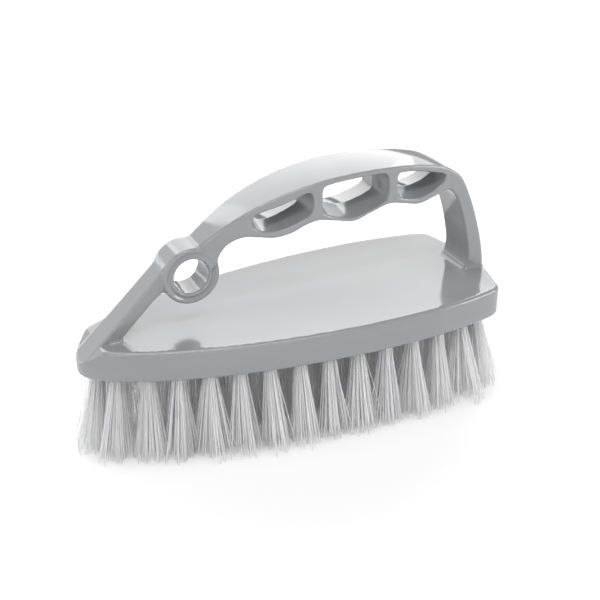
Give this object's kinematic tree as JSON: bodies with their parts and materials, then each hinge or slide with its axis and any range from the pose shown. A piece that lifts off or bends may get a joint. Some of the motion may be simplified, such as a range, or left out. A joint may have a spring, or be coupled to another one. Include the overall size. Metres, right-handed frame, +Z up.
{
  "type": "hand scrub brush",
  "caption": "Iron-shaped hand scrub brush: moulded block with a bridge handle, finger windows and a hanging ring, and bristle tufts held in drilled holes by wire anchors.",
  "frame": {"origin": "middle of the bounding box, on the surface that the bristle tips stand on", "axes": "+X from the nose to the heel, +Z up through the handle, +Y towards the left_edge row"},
  "size_m": [0.1571, 0.068, 0.0869],
  "materials": {
    "body_plastic": "glossy moulded polypropylene, light grey",
    "bristle": "translucent grey filaments",
    "anchor_wire": "drawn flat wire"
  },
  "bodies": {
    "root": {"brush_body": "body_plastic", "tufts_nose": "bristle", "tufts_left_edge": "bristle", "tufts_right_edge": "bristle", "tufts_heel": "bristle", "tufts_left_inner": "bristle", "tufts_right_inner": "bristle", "tufts_centre": "bristle", "anchors_nose": "anchor_wire", "anchors_left_edge": "anchor_wire", "anchors_right_edge": "anchor_wire", "anchors_heel": "anchor_wire", "anchors_left_inner": "anchor_wire", "anchors_right_inner": "anchor_wire", "anchors_centre": "anchor_wire"}
  },
  "joints": []
}
